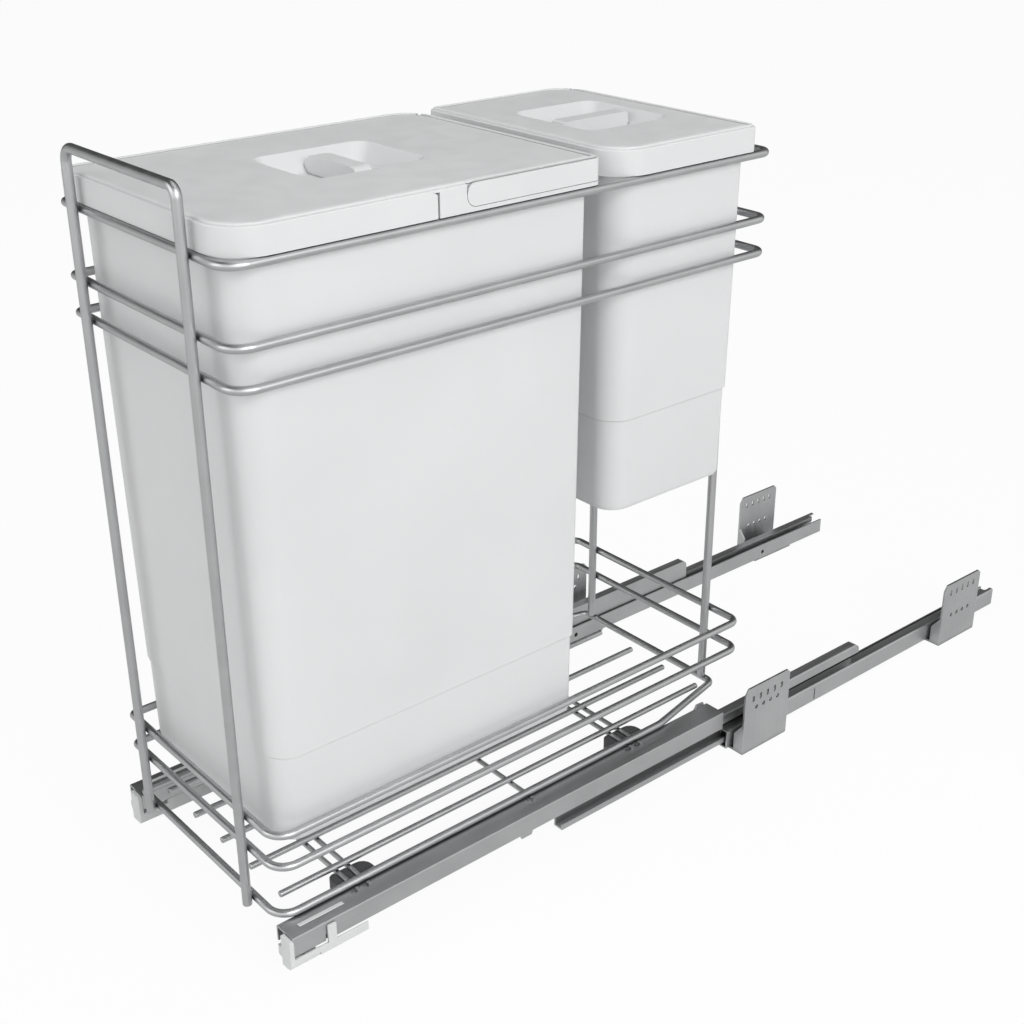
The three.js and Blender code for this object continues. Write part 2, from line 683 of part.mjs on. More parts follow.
// Where the hinge pin of a lid starts and ends, at a back corner of the lid with the given radius.
function pinReach(corner) {
  const inset = bead + lidGap;
  const radius = Math.max(corner - inset, 1);
  const rise = Math.max(radius - lidThickness, 0);
  const edge = rimWidth / 2 - inset - radius;
  return { from: edge - 1, to: edge + Math.sqrt(radius * radius - rise * rise) + hingePinLength };
}

// Slots at the back corners of the rim, open at the top, that the pins of the lid press into.
function hingeSlots(rim) {
  const half = hingePin / 2 + 0.3;
  const flare = 1.6;
  const straight = roundedRectangle(hingeDepth(rim) - half, hingeHeight - half, hingeDepth(rim) + half,
    rimTop + 2, [half - 0.05, half - 0.05, 0.1, 0.1], 4);
  const slot = straight.map(([y, z]) => (z > rimTop ? [y + Math.sign(y - hingeDepth(rim)) * flare, z] : [y, z]));
  const right = pinReach(sharpCorner);
  const left = pinReach(wideCorner);
  return [alongX(slot, right.from, right.to + 0.4), alongX(slot, -left.to - 0.4, -left.from)];
}

// The dish of a lid, drawn in by `inset` all round, from its floor to `top`.
function dish(grip, inset, floor, top) {
  const loop = (inward, z, corner) => ({
    z,
    points: roundedRectangle(grip.x + inward - grip.across / 2, grip.y + inward - grip.deep / 2,
      grip.x - inward + grip.across / 2, grip.y - inward + grip.deep / 2, corner),
  });
  return loft([
    loop(inset + gripDraft + 2.5, floor, gripCorner - 6), loop(inset + gripDraft, floor + 1.5, gripCorner - 5),
    loop(inset + 0.8, top - 1.2, gripCorner - 1), loop(inset - 0.5, top, gripCorner),
  ]);
}

// The ridge that two fingers pinch, drawn in by `inset`. It is domed or square at its ends.
function pinchRidge(grip, inset, bottom) {
  const half = grip.ridgeLength / 2 - inset;
  const top = lidTop - ridgeDrop - inset;
  const corner = Math.max(grip.ridgeCorner - inset, 0.5);
  const reach = ridgeWidth / 2 - inset;
  const side = (middle) => roundedRectangle(middle - half, bottom, middle + half, top, [0.1, 0.1, corner, corner]);
  return grip.ridgeAlong === "x"
    ? alongY(side(grip.x), grip.y - reach, grip.y + reach)
    : alongX(side(grip.y), grip.x - reach, grip.x + reach);
}

// The lid drops into the rim and turns up about two pins at its back corners.
function lid(rim, grip) {
  const inset = bead + lidGap;
  const bevel = 0.6;
  const panel = loft([
    binLoop(rim, inset + bevel, lidTop - lidThickness), binLoop(rim, inset, lidTop - lidThickness + bevel),
    binLoop(rim, inset, lidTop - 0.5), binLoop(rim, inset + 0.5, lidTop),
  ]);
  const floor = lidTop - gripDepth;
  const pin = circle(hingeDepth(rim), hingeHeight, hingePin / 2, 12);
  const right = pinReach(sharpCorner);
  const left = pinReach(wideCorner);
  const pins = [alongX(pin, right.from - 2, right.to), alongX(pin, -left.to, 2 - left.from)];
  const outside = joined(panel, dish(grip, -lidThickness, floor - lidThickness, lidTop - 0.5), ...pins);
  const dished = cut(outside, [dish(grip, 0, floor, lidTop + 0.3)]);
  return cut(joined(dished, pinchRidge(grip, 0, floor - 1)), [pinchRidge(grip, lidThickness, floor - gripDepth)]);
}

// A band round the back of the large rim, from the handle pins on one side to those on the other.
function backBand(from, to, low, high, frontRadii) {
  const plan = (inset) => roundedRectangle(
    inset - rimWidth / 2, handleDepth - 40, rimWidth / 2 - inset, largeRim.rear - inset,
    [0.5, 0.5, Math.max(sharpCorner - inset, 1), Math.max(wideCorner - inset, 1)], rimCornerSteps,
  );
  const block = cut(alongZ(plan(from), low, high), [
    alongZ(plan(to).map(([x, y]) => [x, y < handleDepth ? y - 10 : y]), low - 1, high + 1),
  ]);
  const reach = frontRadii[0] + clearance / 2;
  const profile = roundedRectangle(handleDepth - reach, low, largeRim.rear + 5, high,
    [frontRadii[0], 0.1, 0.1, frontRadii[1]], 5);
  return shapeOf(solid(block).intersect(solid(alongX(profile, -rimWidth, rimWidth))));
}

const handleLow = handleMiddle - handleHeight / 2;
const handlePins = (radius, inner) => {
  const end = circle(handleDepth, handleMiddle, radius, 16);
  const outer = rimWidth / 2 - handleSheet / 2;
  return [alongX(end, inner, outer), alongX(end, -outer, -inner)];
};

function carryHandle() {
  const radius = handleHeight / 2;
  const strap = backBand(0, handleSheet, handleLow, handleLow + handleHeight, [radius - 0.1, radius - 0.1]);
  const pinEnd = rimWidth / 2 - handleSheet - clearance - handlePinLength;
  return joined(strap, ...handlePins(handlePin / 2, pinEnd));
}

// A slit in each side of the large rim, open at its foot and hooked forward at its top.
function rimSlits() {
  const { y, width, below, hook, hookHeight } = rimSlit;
  const front = y - width / 2;
  const rear = y + width / 2;
  const high = rimTop - ledge.drop - below;
  const mark = [
    [front, rimBottom - 1], [rear, rimBottom - 1], [rear, high], [front - hook, high], [front, high - hookHeight],
  ];
  const outer = rimWidth / 2 + 1;
  const inner = rimWidth / 2 - rimSheet - 0.5;
  return [alongX(mark, inner, outer), alongX(mark, -outer, -inner)];
}

// The large bin's rim is set back behind the handle and bored for its pins.
function largeBin() {
  const recess = handleSheet + clearance;
  const radius = handleHeight / 2 + clearance;
  const backing = backBand(recess - 1, recess + 1.8, rimBottom + 0.5, rimTop - 2.5, [6, 1]);
  const band = backBand(-5, recess, handleLow - clearance, rimTop + 5, [radius, 0.1]);
  const filled = joined(bin(largeRim, largeFloor, largeStep), backing);
  const bores = handlePins(handlePin / 2 + 0.3, rimWidth / 2 - 6);
  return cut(filled, [band, ...bores, ...hingeSlots(largeRim), ...rimSlits()]);
}

add("large_bin", largeBin(), binPlastic());
add("large_bin_lid", lid(largeRim, largeGrip), lidPlastic());
add("large_bin_handle", carryHandle(), binPlastic());
add("small_bin", cut(bin(smallRim, smallFloor, smallStep), hingeSlots(smallRim)), binPlastic());
add("small_bin_lid", lid(smallRim, smallGrip), lidPlastic());

// ---- the frame of the part: the middle of the footprint, at the underside of the brackets ----
const frontMost = uprightY - frameWire / 2;
const rearMost = railFront + railLength;
unit.position.set(0, -(frontMost + rearMost) / 2, -(railBottom - clearance - plateThickness));

export default unit;
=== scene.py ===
import json
import math

import bmesh
import bpy
from mathutils import Euler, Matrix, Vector

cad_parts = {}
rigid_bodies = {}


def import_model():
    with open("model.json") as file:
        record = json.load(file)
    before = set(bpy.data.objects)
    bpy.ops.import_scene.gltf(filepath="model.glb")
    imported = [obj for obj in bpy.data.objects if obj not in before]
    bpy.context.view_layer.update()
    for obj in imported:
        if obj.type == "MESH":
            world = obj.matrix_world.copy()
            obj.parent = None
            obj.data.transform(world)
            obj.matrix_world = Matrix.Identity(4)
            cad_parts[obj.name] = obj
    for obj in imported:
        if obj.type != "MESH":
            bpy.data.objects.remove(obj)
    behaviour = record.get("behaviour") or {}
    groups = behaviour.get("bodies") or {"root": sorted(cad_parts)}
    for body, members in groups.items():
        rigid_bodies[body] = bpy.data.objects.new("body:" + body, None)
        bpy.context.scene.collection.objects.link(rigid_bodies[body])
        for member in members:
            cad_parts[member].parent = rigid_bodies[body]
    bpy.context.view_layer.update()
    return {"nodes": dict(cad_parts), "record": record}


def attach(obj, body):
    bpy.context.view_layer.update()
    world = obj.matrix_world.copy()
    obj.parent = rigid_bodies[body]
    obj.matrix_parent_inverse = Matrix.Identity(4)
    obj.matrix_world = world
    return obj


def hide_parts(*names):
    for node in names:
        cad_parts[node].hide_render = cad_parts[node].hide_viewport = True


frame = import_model()

# A pull-out waste bin unit. Lengths below are millimetres, with the front wire of the basket
# at Y = 0 and the middle of its base wire at Z = 0, as a maker would measure the basket.
MM = 0.001
BASKET_START = Vector((0.0, -413.85, 46.4))
GAP = 0.3  # between pieces that touch or are welded

UP = (0, 0, 1)
ACROSS = (1, 0, 0)
BACK = (0, 1, 0)


def at(x, y, z):
    """A place on the basket, in metres."""
    return (Vector((x, y, z)) + BASKET_START) * MM


# ---- hand tools ----
SAME_POINT = 0.01  # points of a drawn piece that lie this near are one point
PACKED_SEAM = 0.002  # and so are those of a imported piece
FLAT_ANGLE = 1.0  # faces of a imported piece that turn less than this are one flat
BEVEL_ANGLE = 35  # edges that turn more than this are eased
SMOOTH_ANGLE = 32  # and edges that still turn less than this shade as a rounding


def put_down():
    if bpy.context.mode != "OBJECT":
        bpy.ops.object.mode_set(mode="OBJECT")
    bpy.ops.object.select_all(action="DESELECT")


def pick_up(*pieces):
    put_down()
    for piece in pieces:
        piece.select_set(True)
    bpy.context.view_layer.objects.active = pieces[0]


def name_it(piece, name):
    piece.name = name
    piece.data.name = name
    return piece


def settle():
    """Puts the active object's place into its mesh."""
    bpy.ops.object.transform_apply(location=True, rotation=True, scale=True)
    return bpy.context.active_object


def open_mesh():
    bpy.ops.object.mode_set(mode="EDIT")
    bpy.context.tool_settings.mesh_select_mode = (True, False, False)
    bpy.ops.mesh.select_all(action="SELECT")


def choose(test):
    """Selects the points of the open mesh that pass a test on their place in mm."""
    mesh = bpy.context.active_object.data
    points = bmesh.from_edit_mesh(mesh)
    bpy.ops.mesh.select_all(action="DESELECT")
    for point in points.verts:
        if test(point.co / MM - BASKET_START):
            point.select_set(True)
    points.select_flush_mode()
    bmesh.update_edit_mesh(mesh)


def close_mesh():
    bpy.ops.object.mode_set(mode="OBJECT")
    return bpy.context.active_object


def join_ends():
    """Joins the ends of a drawn skin that meet, and turns its faces outwards."""
    bpy.ops.mesh.select_all(action="SELECT")
    bpy.ops.mesh.remove_doubles(threshold=SAME_POINT * MM)
    bpy.ops.mesh.normals_make_consistent(inside=False)


def true_flats(piece, smooth):
    """Smooths the roundings of a piece and leaves its flats looking flat."""
    pick_up(piece)
    bpy.ops.object.shade_smooth_by_angle(angle=math.radians(smooth))
    flats = piece.modifiers.new("true flats", "WEIGHTED_NORMAL")
    flats.keep_sharp = True
    flats.weight = 100
    bpy.ops.object.modifier_apply(modifier=flats.name)
    return piece


def ease_edges(piece, width, segments=2, angle=BEVEL_ANGLE, smooth=SMOOTH_ANGLE):
    """Rounds the sharp edges of a piece, as pressing and moulding leave them."""
    pick_up(piece)
    rounding = piece.modifiers.new("eased edges", "BEVEL")
    rounding.width = width * MM
    rounding.segments = segments
    rounding.limit_method = "ANGLE"
    rounding.angle_limit = math.radians(angle)
    rounding.use_clamp_overlap = True
    bpy.ops.object.modifier_apply(modifier=rounding.name)
    return true_flats(piece, smooth)


def block(name, place, size):
    put_down()
    bpy.ops.mesh.primitive_cube_add(size=1, location=at(*place))
    name_it(bpy.context.active_object, name).scale = Vector(size) * MM
    return settle()


def cut_away(piece, cutter):
    pick_up(piece)
    cutting = piece.modifiers.new("cut", "BOOLEAN")
    cutting.operation = "DIFFERENCE"
    cutting.solver = "EXACT"
    cutting.object = cutter
    bpy.ops.object.modifier_apply(modifier=cutting.name)
    bpy.data.objects.remove(cutter, do_unlink=True)
    return piece


def join(piece, other):
    pick_up(piece, other)
    bpy.ops.object.join()
    return bpy.context.active_object


def copied_node(name, new_name):
    """A copy of a pressed or moulded piece with its flats made whole again, ready for handwork."""
    source = frame["nodes"][name]
    piece = source.copy()
    piece.data = source.data.copy()
    bpy.context.collection.objects.link(piece)
    name_it(piece, new_name)
    pick_up(piece)
    bpy.ops.object.parent_clear(type="CLEAR_KEEP_TRANSFORM")
    settle()
    open_mesh()
    bpy.ops.mesh.customdata_custom_splitnormals_clear()
    bpy.ops.mesh.remove_doubles(threshold=PACKED_SEAM * MM)
    bpy.ops.mesh.dissolve_limited(angle_limit=math.radians(FLAT_ANGLE))
    return close_mesh()


# ---- bent wire ----
WIRE_SIDES = 20
BEND_STEPS = 10
WIRE_SMOOTH = 45  # edges of a wire that turn less than this shade as round
CUT_END_ANGLE = 60  # only the edge around a cut end turns more than this


class Wire:
    """A wire drawn on from its cut end: straight runs and bends, one after the other."""

    def __init__(self, diameter, start, heading):
        self.place = Vector(start)
        self.heading = Vector(heading)
        turn = Vector(UP).rotation_difference(self.heading).to_euler()
        put_down()
        bpy.ops.mesh.primitive_circle_add(
            vertices=WIRE_SIDES, radius=diameter / 2 * MM, location=at(*start), rotation=turn)
        settle()
        open_mesh()

    def run(self, length):
        step = self.heading * length
        bpy.ops.mesh.extrude_region_move(TRANSFORM_OT_translate={"value": step * MM})
        self.place += step
        return self

    def bend(self, axis, degrees, radius):
        axis = Vector(axis)
        centre = self.place + axis.cross(self.heading) * radius
        bpy.ops.mesh.spin(steps=BEND_STEPS, angle=-math.radians(degrees),
                          center=at(*centre), axis=axis)
        turn = Euler(axis * math.radians(degrees)).to_matrix()
        self.place = centre + turn @ (self.place - centre)
        self.heading = turn @ self.heading
        return self

    def cut_off(self, name, rounded):
        """Ends a wire that has two cut ends, rounded by the given width."""
        bpy.ops.mesh.select_all(action="SELECT")
        bpy.ops.mesh.fill_holes(sides=0)
        join_ends()
        piece = name_it(close_mesh(), name)
        return ease_edges(piece, rounded, angle=CUT_END_ANGLE, smooth=WIRE_SMOOTH)

    def close_up(self, name):
        """Ends a wire that has come round to its start, where it is welded."""
        join_ends()
        piece = name_it(close_mesh(), name)
        pick_up(piece)
        bpy.ops.object.shade_smooth_by_angle(angle=math.radians(WIRE_SMOOTH))
        return piece


RING_WIRE = 6
FRAME_WIRE = 7
FLOOR_WIRE = 5
CROSS_WIRE = 4
BASKET_HALF = 103  # from the middle of the basket to its side wires
BASKET_DEPTH = 462
RIGHT_BEND = 15
LEFT_BEND = 3.5
REAR_BEND = 9
TOP_RING = 469
RINGS = {"upper_ring_1": TOP_RING, "upper_ring_2": 419.3, "upper_ring_3": 393.3,
         "lower_ring_1": 69.6, "lower_ring_2": 43}


def ring(node, height):
    wire = Wire(RING_WIRE, (0, 0, height), ACROSS)
    wire.run(BASKET_HALF - RIGHT_BEND).bend(UP, 90, RIGHT_BEND)
    wire.run(BASKET_DEPTH - RIGHT_BEND - REAR_BEND).bend(UP, 90, REAR_BEND)
    wire.run(2 * (BASKET_HALF - REAR_BEND)).bend(UP, 90, REAR_BEND)
    wire.run(BASKET_DEPTH - LEFT_BEND - REAR_BEND).bend(UP, 90, LEFT_BEND)
    wire.run(BASKET_HALF - LEFT_BEND)
    return wire.close_up(node + "_wire")


BASE_SET_BACK = 4  # of the base wire from the rings, at its sides and its rear
BASE_HALF = BASKET_HALF - BASE_SET_BACK
BASE_REAR = BASKET_DEPTH - BASE_SET_BACK
TAPER_LENGTH = 82
TAPER_IN = 18
TAPER_BEND = 30
BASE_REAR_BEND = 7


def base_ring():
    """The base wire, which draws in on both sides at its rear."""
    slant = math.degrees(math.atan2(TAPER_IN, TAPER_LENGTH))
    last = 90 - slant
    into_taper = TAPER_BEND * math.tan(math.radians(slant / 2))
    into_rear = BASE_REAR_BEND * math.tan(math.radians(last / 2))
    taper = math.hypot(TAPER_IN, TAPER_LENGTH) - into_taper - into_rear
    side = BASE_REAR - TAPER_LENGTH - into_taper
    wire = Wire(RING_WIRE, (0, 0, 0), ACROSS)
    wire.run(BASE_HALF - RIGHT_BEND).bend(UP, 90, RIGHT_BEND).run(side - RIGHT_BEND)
    wire.bend(UP, slant, TAPER_BEND).run(taper).bend(UP, last, BASE_REAR_BEND)
    wire.run(2 * (BASE_HALF - TAPER_IN - into_rear))
    wire.bend(UP, last, BASE_REAR_BEND).run(taper).bend(UP, slant, TAPER_BEND)
    wire.run(side - LEFT_BEND).bend(UP, 90, LEFT_BEND).run(BASE_HALF - LEFT_BEND)
    return wire.close_up("base_ring_wire")


UPRIGHT_HALF = 71.2  # from the middle of a frame or a pair of legs to its upright wires
FRAME_OFFSET = -4.7  # the front frame stands this far off the middle of the basket
FRAME_TOP = 510.3
FRAME_LEFT_BEND = 10
FRAME_RIGHT_BEND = 7
UPRIGHT_Y = -(RING_WIRE + FRAME_WIRE) / 2 - GAP
UPRIGHT_FOOT = -FRAME_WIRE / 2
LEG_Y = BASKET_DEPTH + UPRIGHT_Y
LEG_FOOT = RING_WIRE / 2 + GAP
UPRIGHT_END = 0.5


def front_frame():
    wire = Wire(FRAME_WIRE, (FRAME_OFFSET - UPRIGHT_HALF, UPRIGHT_Y, UPRIGHT_FOOT), UP)
    wire.run(FRAME_TOP - FRAME_LEFT_BEND - UPRIGHT_FOOT).bend(BACK, 90, FRAME_LEFT_BEND)
    wire.run(2 * UPRIGHT_HALF - FRAME_LEFT_BEND - FRAME_RIGHT_BEND).bend(BACK, 90, FRAME_RIGHT_BEND)
    wire.run(FRAME_TOP - FRAME_RIGHT_BEND - UPRIGHT_FOOT)
    return wire.cut_off("front_frame_wire", UPRIGHT_END)


def back_leg(hand, side):
    wire = Wire(FRAME_WIRE, (side * UPRIGHT_HALF, LEG_Y, LEG_FOOT), UP)
    return wire.run(TOP_RING - LEG_FOOT).cut_off(f"back_leg_wire_{hand}", UPRIGHT_END)


CROSS_WIRES = {"front_a": 60, "front_b": 70, "middle": 227, "rear_a": 334, "rear_b": 344}
CROSS_HEIGHT = -1
CROSS_REACH = BASE_HALF - RING_WIRE / 2 - GAP
CROSS_END = 0.2
FLOOR_SPACING = 40.3
FLOOR_WIRES = {f"floor_wire_{i + 1}": (i - 2) * FLOOR_SPACING for i in range(5)}
FLOOR_HEIGHT = CROSS_HEIGHT + (CROSS_WIRE + FLOOR_WIRE) / 2 + GAP
FLOOR_FRONT = 11.5
FLOOR_REAR = 438.7
FLOOR_END = 0.9


def floor_wire(node, x):
    wire = Wire(FLOOR_WIRE, (x, FLOOR_FRONT, FLOOR_HEIGHT), BACK)
    return wire.run(FLOOR_REAR - FLOOR_FRONT).cut_off(node + "_rod", FLOOR_END)


def cross_wire(node, y):
    wire = Wire(CROSS_WIRE, (-CROSS_REACH, y, CROSS_HEIGHT), ACROSS)
    return wire.run(2 * CROSS_REACH).cut_off(node + "_rod", CROSS_END)


# ---- finishes ----
def finish(name, color, roughness, metallic=0.0):
    paint = bpy.data.materials.new(name)
    paint.use_nodes = True
    shader = paint.node_tree.nodes["Principled BSDF"]
    shader.inputs["Base Color"].default_value = (*color, 1)
    shader.inputs["Roughness"].default_value = roughness
    shader.inputs["Metallic"].default_value = metallic
    return paint, paint.node_tree, shader


def times(color, share):
    return tuple(min(c * share, 1) for c in color)


def figure(tree, operation, *values):
    """A sum on sockets and plain numbers."""
    node = tree.nodes.new("ShaderNodeMath")
    node.operation = operation
    for socket, value in zip(node.inputs, values):
        if isinstance(value, (int, float)):
            socket.default_value = value
        else:
            tree.links.new(value, socket)
    return node.outputs[0]


def noise(tree, scale, detail, stretch=(1, 1, 1), rough=0.5):
    place = tree.nodes.new("ShaderNodeTexCoord")
    turn = tree.nodes.new("ShaderNodeMapping")
    turn.inputs["Scale"].default_value = stretch
    grain = tree.nodes.new("ShaderNodeTexNoise")
    grain.inputs["Scale"].default_value = scale
    grain.inputs["Detail"].default_value = detail
    grain.inputs["Roughness"].default_value = rough
    tree.links.new(place.outputs["Object"], turn.inputs["Vector"])
    tree.links.new(turn.outputs["Vector"], grain.inputs["Vector"])
    return grain.outputs["Fac"]


def spread(tree, source, low, high, start=0.35, end=0.65):
    """Turns values from start to end into values from low to high."""
    band = tree.nodes.new("ShaderNodeMapRange")
    band.inputs["From Min"].default_value = start
    band.inputs["From Max"].default_value = end
    band.inputs["To Min"].default_value = low
    band.inputs["To Max"].default_value = high
    tree.links.new(source, band.inputs["Value"])
    return band.outputs["Result"]


def tint(tree, share, first, second):
    """Mixes two colours, each a plain one or a socket."""
    mix = tree.nodes.new("ShaderNodeMix")
    mix.data_type = "RGBA"
    tree.links.new(share, mix.inputs["Factor"])
    for key, color in (("A", first), ("B", second)):
        socket = [s for s in mix.inputs if s.name == key and s.type == "RGBA"][0]
        if isinstance(color, tuple):
            socket.default_value = (*color, 1)
        else:
            tree.links.new(color, socket)
    return [s for s in mix.outputs if s.type == "RGBA"][0]


def dents(tree, shader, height, strength, distance):
    bump = tree.nodes.new("ShaderNodeBump")
    bump.inputs["Strength"].default_value = strength
    bump.inputs["Distance"].default_value = distance * MM
    tree.links.new(height, bump.inputs["Height"])
    tree.links.new(bump.outputs["Normal"], shader.inputs["Normal"])


def rubbed_edges(tree, radius, low=0.02, high=0.18):
    """1 on edges that hands and neighbours rub, 0 on flats."""
    soft = tree.nodes.new("ShaderNodeBevel")
    soft.inputs["Radius"].default_value = radius * MM
    place = tree.nodes.new("ShaderNodeNewGeometry")
    apart = tree.nodes.new("ShaderNodeVectorMath")
    apart.operation = "DISTANCE"
    tree.links.new(soft.outputs["Normal"], apart.inputs[0])
    tree.links.new(place.outputs["Normal"], apart.inputs[1])
    return spread(tree, apart.outputs["Value"], 0.0, 1.0, low, high)


def painted_crevice_shade(tree, reach, closed, open_air):
    """Painted shade: 1 in narrow gaps and inner corners, where the colour is darkened to stand for shade, 0
    in the open.
    """
    near = tree.nodes.new("ShaderNodeAmbientOcclusion")
    near.samples = 8
    near.inputs["Distance"].default_value = reach * MM
    return spread(tree, near.outputs["AO"], 1.0, 0.0, closed, open_air)


def moulded_plastic(name, color, darker, roughness):
    """Plastic with a fine moulded grain, rubbed paler on its edges, and darkened by painted shade in its
    creases and gaps.
    """
    paint, tree, shader = finish(name, color, roughness)
    cloud = spread(tree, noise(tree, 9, 4), 0, 1, 0.3, 0.7)
    blend = tint(tree, cloud, color, darker)
    clean = tint(tree, rubbed_edges(tree, 0.7), blend, times(color, 1.05))
    # painted shade: the colour drops to half its brightness in creases, ledges and narrow gaps
    painted_crease_shade = tint(tree, painted_crevice_shade(tree, 1.6, 0.5, 0.95), clean, times(color, 0.5))
    tree.links.new(painted_crease_shade, shader.inputs["Base Color"])
    gloss = spread(tree, noise(tree, 60, 3), roughness - 0.05, roughness + 0.07)
    tree.links.new(gloss, shader.inputs["Roughness"])
    dents(tree, shader, noise(tree, 2600, 2, rough=0.6), 0.16, 0.05)
    return paint


def plated_wire(name, color, darker):
    """Satin plated wire, darkened by painted shade where it touches its neighbours."""
    paint, tree, shader = finish(name, color, 0.3, metallic=1.0)
    blend = tint(tree, spread(tree, noise(tree, 45, 4), 0, 1), color, darker)
    # painted shade: darker where the wire lies close under a rim or against another wire
    shaded = tint(tree, painted_crevice_shade(tree, 4, 0.3, 0.8), blend, times(color, 0.4))
    tree.links.new(shaded, shader.inputs["Base Color"])
    tree.links.new(spread(tree, noise(tree, 90, 3), 0.33, 0.43), shader.inputs["Roughness"])
    dents(tree, shader, noise(tree, 60, 2), 0.05, 0.2)
    return paint


def zinc_sheet(name, color, darker, rolled):
    """Zinc on rolled steel, with the lines of the rolling along one direction, and darkened by painted shade
    in its gaps.
    """
    paint, tree, shader = finish(name, color, 0.4, metallic=0.9)
    cloud = spread(tree, noise(tree, 22, 5), 0, 1, 0.3, 0.7)
    blend = tint(tree, cloud, color, darker)
    clean = tint(tree, rubbed_edges(tree, 0.5), blend, times(color, 1.25))
    # painted shade: darker in the gaps between the slide members and around the brackets
    shaded = tint(tree, painted_crevice_shade(tree, 9, 0.2, 0.75), clean, times(color, 0.35))
    tree.links.new(shaded, shader.inputs["Base Color"])
    lines = noise(tree, 420, 3, stretch=rolled)
    tree.links.new(spread(tree, lines, 0.3, 0.46), shader.inputs["Roughness"])
    dents(tree, shader, lines, 0.1, 0.05)
    return paint


WIRE = plated_wire("bright_grey_wire", (0.57, 0.575, 0.58), (0.52, 0.525, 0.53))
RAIL = zinc_sheet("zinc_rail", (0.55, 0.555, 0.56), (0.47, 0.475, 0.48), (1, 0.02, 1))
PLATE = zinc_sheet("zinc_plate", (0.56, 0.565, 0.57), (0.48, 0.485, 0.49), (1, 1, 0.03))
ROLLER = zinc_sheet("bright_roller", (0.60, 0.61, 0.62), (0.52, 0.53, 0.54), (0.03, 1, 1))
CAGE = moulded_plastic("natural_cage", (0.70, 0.67, 0.58), (0.62, 0.59, 0.50), 0.5)
CATCH = moulded_plastic("milky_catch", (0.74, 0.75, 0.75), (0.66, 0.67, 0.67), 0.42)
CLIP = moulded_plastic("dark_clip", (0.09, 0.09, 0.095), (0.07, 0.07, 0.072), 0.5)
BIN = moulded_plastic("pale_bin", (0.735, 0.74, 0.745), (0.705, 0.71, 0.715), 0.46)
LID = moulded_plastic("pale_lid", (0.715, 0.72, 0.725), (0.69, 0.695, 0.70), 0.48)

SLOT_FINISH = {"wire": WIRE, "rail_steel": RAIL, "bracket_steel": PLATE, "roller_steel": ROLLER,
               "cage_plastic": CAGE, "catch_plastic": CATCH, "clip_plastic": CLIP,
               "bin_plastic": BIN, "lid_plastic": LID}
NODE_SLOT = {part["node"]: part["material_slot"] for part in frame["record"]["subparts"]}
NODE_BODY = {node: body for body, nodes in frame["record"]["behaviour"]["bodies"].items() for node in nodes}


def coat(piece, paint):
    piece.data.materials.clear()
    piece.data.materials.append(paint)


def stand_for(piece, node):
    """Puts a finished piece in the place of a packed one."""
    coat(piece, SLOT_FINISH[NODE_SLOT[node]])
    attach(piece, NODE_BODY[node])
    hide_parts(node)


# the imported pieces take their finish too, because the cages and the rollers stay as they are
for node, thing in frame["nodes"].items():
    for held in thing.material_slots:
        held.material = SLOT_FINISH[NODE_SLOT[node]]

SIDES = {"right": 1, "left": -1}

# ---- the basket ----
for node, height in RINGS.items():
    stand_for(ring(node, height), node)
stand_for(base_ring(), "base_ring")
stand_for(front_frame(), "front_frame")
for hand, side in SIDES.items():
    stand_for(back_leg(hand, side), f"back_leg_{hand}")
for node, x in FLOOR_WIRES.items():
    stand_for(floor_wire(node, x), node)
for place, y in CROSS_WIRES.items():
    node = f"cross_wire_{place}"
    stand_for(cross_wire(node, y), node)

MOULDED_EDGE = 0.3

# ---- the rims and the body of the bins ----
RIM_HEIGHT = 20
RIM_BOTTOM = TOP_RING + RING_WIRE / 2 + GAP
RIM_TOP = RIM_BOTTOM + RIM_HEIGHT
LEDGE_DROPS = (0.8, 0.9, 1.4)  # of the ledge's lines of points below the top of the rim
LEDGE_SINK = 1.1
ON_LINE = 0.04  # a point this near to a line of the ledge is on it
SLIT_Y = 151  # of the slit in the sides of the large rim, right under the ledge
SLIT_REACH = 5
SLIT_SIDE = 100
SLIT_DROPS = (1.5, 4.2)


def on_ledge(p):
    return any(abs(RIM_TOP - p.z - drop) < ON_LINE for drop in LEDGE_DROPS)


def on_slit(p):
    least, most = SLIT_DROPS
    return abs(p.y - SLIT_Y) < SLIT_REACH and abs(p.x) > SLIT_SIDE and least < RIM_TOP - p.z < most


def sink_ledge(rim):
    """Lets the ledge outside the raised bead of a rim down, and the slit under it with it,
    so that the ledge shows as a line."""
    pick_up(rim)
    open_mesh()
    choose(lambda p: on_ledge(p) or on_slit(p))
    bpy.ops.transform.translate(value=(0, 0, -LEDGE_SINK * MM))
    return close_mesh()


BODY_HALF = 99  # of the large bin under its rim, before its taper
BODY_FRONT = 7.5
BODY_WALL = 2
BODY_FLOOR = 52
NEST_STEP = BODY_FLOOR + 71  # below it the body is narrower, so that bins nest
STEP_IN = 1.2
TAPER = 0.0075  # mm per mm of height
LID_SEAT = RIM_TOP - 3.7  # the shelf inside the rim that the lid lies over
TIGHT_CORNER = 4
WIDER_CORNER = 15
AT_HEIGHT = 0.1  # a point this near to a height is at it
CORNER_OUTSIDE = 0.3  # a point this far outside a corner still belongs to it
CORNER_PAST = 0.4  # and so does one this far past its rounding

# height of each bend line of the body and how far it lies in from the outer skin, first up the
# outside and then down the inside
BODY_LINES = (
    (BODY_FLOOR, 5), (BODY_FLOOR + 1.5, 1.6), (BODY_FLOOR + 5, 0), (NEST_STEP - 1, 0),
    (NEST_STEP + 0.4, 0), (LID_SEAT - BODY_WALL, 0), (LID_SEAT, BODY_WALL), (NEST_STEP + 0.4, BODY_WALL),
    (NEST_STEP - 1, BODY_WALL), (BODY_FLOOR + 5, BODY_WALL), (BODY_FLOOR + BODY_WALL + 0.8, BODY_WALL + 1.4),
    (BODY_FLOOR + BODY_WALL, BODY_WALL + 5),
)


